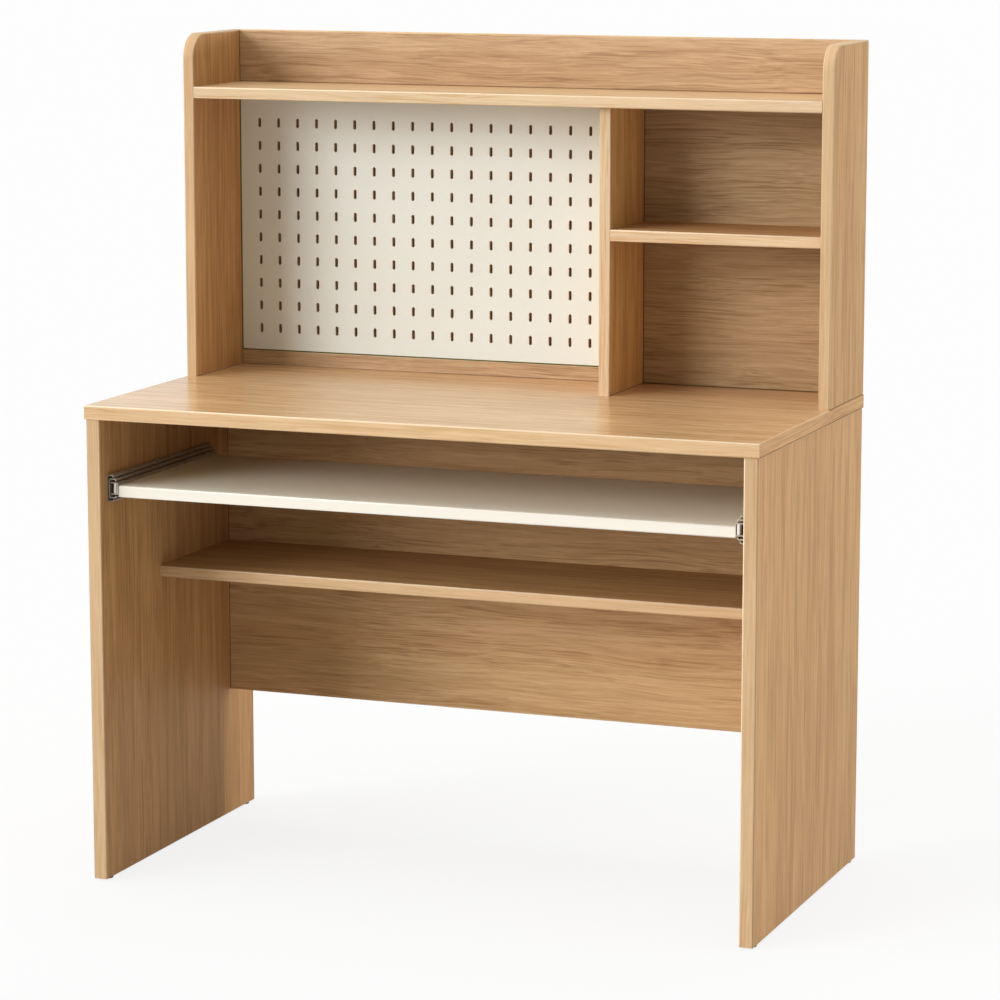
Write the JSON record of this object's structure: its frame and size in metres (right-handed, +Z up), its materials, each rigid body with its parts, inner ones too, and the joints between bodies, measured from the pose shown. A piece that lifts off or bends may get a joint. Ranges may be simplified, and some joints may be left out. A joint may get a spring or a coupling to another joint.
{
  "type": "student desk with hutch",
  "caption": "Light oak desk with a pull-out keyboard tray on ball-bearing slides, a lower shelf, a modesty panel, and a hutch with a slotted pegboard, a divided cubby and a top shelf.",
  "frame": {"origin": "on the floor, under the middle of the overall box", "axes": "+X to the right of a person sitting at the desk, +Y from the front to the back, +Z up"},
  "size_m": [1.08, 0.55, 1.3],
  "materials": {
    "ball_steel": "polished balls",
    "beech_dowel": "fluted beech",
    "black_glide": "matt",
    "brown_hardboard": "plain brown hardboard",
    "cage_steel": "zinc-plated strip",
    "cream_board": "matt cream painted board",
    "die_cast_zinc": "die-cast",
    "oak_edge_band": "paler satin edge band",
    "oak_laminate_across": "satin oak-pattern laminate, grain across",
    "oak_laminate_upright": "satin oak-pattern laminate, grain upright",
    "slide_steel": "zinc-plated rolled steel",
    "white_edge_band": "smooth off-white edge band",
    "white_laminate": "smooth off-white laminate",
    "white_nylon": "smooth",
    "zinc_plate": "zinc-plated angle",
    "zinc_screw": "zinc-plated"
  },
  "bodies": {
    "desk": {"bracket_screws": "zinc_screw", "corner_brackets": "zinc_plate", "cubby_back_panel": "oak_laminate_across", "cubby_shelf": "oak_laminate_across", "cubby_shelf_edge_band": "oak_edge_band", "desk_cam_bolts": "zinc_screw", "desk_cam_locks": "die_cast_zinc", "desktop": "oak_laminate_across", "desktop_edge_band": "oak_edge_band", "divider_edge_band": "oak_edge_band", "floor_glides": "black_glide", "hutch_cam_bolts": "zinc_screw", "hutch_cam_locks": "die_cast_zinc", "hutch_divider": "oak_laminate_upright", "hutch_fixing_screws": "zinc_screw", "hutch_left_edge_band": "oak_edge_band", "hutch_left_side": "oak_laminate_upright", "hutch_right_edge_band": "oak_edge_band", "hutch_right_side": "oak_laminate_upright", "hutch_top_shelf": "oak_laminate_across", "left_cabinet_rail": "slide_steel", "left_cabinet_rail_screws": "zinc_screw", "left_side_edge_band": "oak_edge_band", "left_side_panel": "oak_laminate_upright", "lower_back_rail": "oak_laminate_across", "lower_shelf": "oak_laminate_across", "lower_shelf_edge_band": "oak_edge_band", "modesty_edge_band": "oak_edge_band", "modesty_panel": "oak_laminate_across", "pegboard": "cream_board", "pegboard_backing": "brown_hardboard", "rail_screws": "zinc_screw", "right_cabinet_rail": "slide_steel", "right_cabinet_rail_screws": "zinc_screw", "right_side_edge_band": "oak_edge_band", "right_side_panel": "oak_laminate_upright", "shelf_pins": "zinc_screw", "shelf_screws": "zinc_screw", "top_shelf_edge_band": "oak_edge_band", "upper_back_rail": "oak_laminate_across", "upper_rail_edge_band": "oak_edge_band", "wood_dowels": "beech_dowel"},
    "tray": {"keyboard_tray": "white_laminate", "tray_edge_band": "white_edge_band", "left_tray_rail": "slide_steel", "left_tray_rail_screws": "zinc_screw", "left_slide_bumper": "white_nylon", "right_tray_rail": "slide_steel", "right_tray_rail_screws": "zinc_screw", "right_slide_bumper": "white_nylon"},
    "left_middle_rail": {"left_middle_rail": "slide_steel"},
    "left_outer_cage": {"left_outer_ball_cage": "cage_steel", "left_outer_balls": "ball_steel"},
    "left_inner_cage": {"left_inner_ball_cage": "cage_steel", "left_inner_balls": "ball_steel"},
    "right_middle_rail": {"right_middle_rail": "slide_steel"},
    "right_outer_cage": {"right_outer_ball_cage": "cage_steel", "right_outer_balls": "ball_steel"},
    "right_inner_cage": {"right_inner_ball_cage": "cage_steel", "right_inner_balls": "ball_steel"}
  },
  "joints": [
    {"name": "tray_slide", "type": "slide", "parent": "desk", "child": "tray", "axis": [0, -1, 0], "range_m": [0, 0.3]},
    {"name": "left_middle_rail_slide", "type": "slide", "parent": "desk", "child": "left_middle_rail", "axis": [0, -1, 0], "range_m": [0, 0.15]},
    {"name": "left_outer_cage_slide", "type": "slide", "parent": "desk", "child": "left_outer_cage", "axis": [0, -1, 0], "range_m": [0, 0.075]},
    {"name": "left_inner_cage_slide", "type": "slide", "parent": "desk", "child": "left_inner_cage", "axis": [0, -1, 0], "range_m": [0, 0.225]},
    {"name": "right_middle_rail_slide", "type": "slide", "parent": "desk", "child": "right_middle_rail", "axis": [0, -1, 0], "range_m": [0, 0.15]},
    {"name": "right_outer_cage_slide", "type": "slide", "parent": "desk", "child": "right_outer_cage", "axis": [0, -1, 0], "range_m": [0, 0.075]},
    {"name": "right_inner_cage_slide", "type": "slide", "parent": "desk", "child": "right_inner_cage", "axis": [0, -1, 0], "range_m": [0, 0.225]}
  ],
  "couplings": [
    {"joint": "left_middle_rail_slide", "follows": "tray_slide", "ratio": 0.5},
    {"joint": "left_outer_cage_slide", "follows": "tray_slide", "ratio": 0.25},
    {"joint": "left_inner_cage_slide", "follows": "tray_slide", "ratio": 0.75},
    {"joint": "right_middle_rail_slide", "follows": "tray_slide", "ratio": 0.5},
    {"joint": "right_outer_cage_slide", "follows": "tray_slide", "ratio": 0.25},
    {"joint": "right_inner_cage_slide", "follows": "tray_slide", "ratio": 0.75}
  ]
}
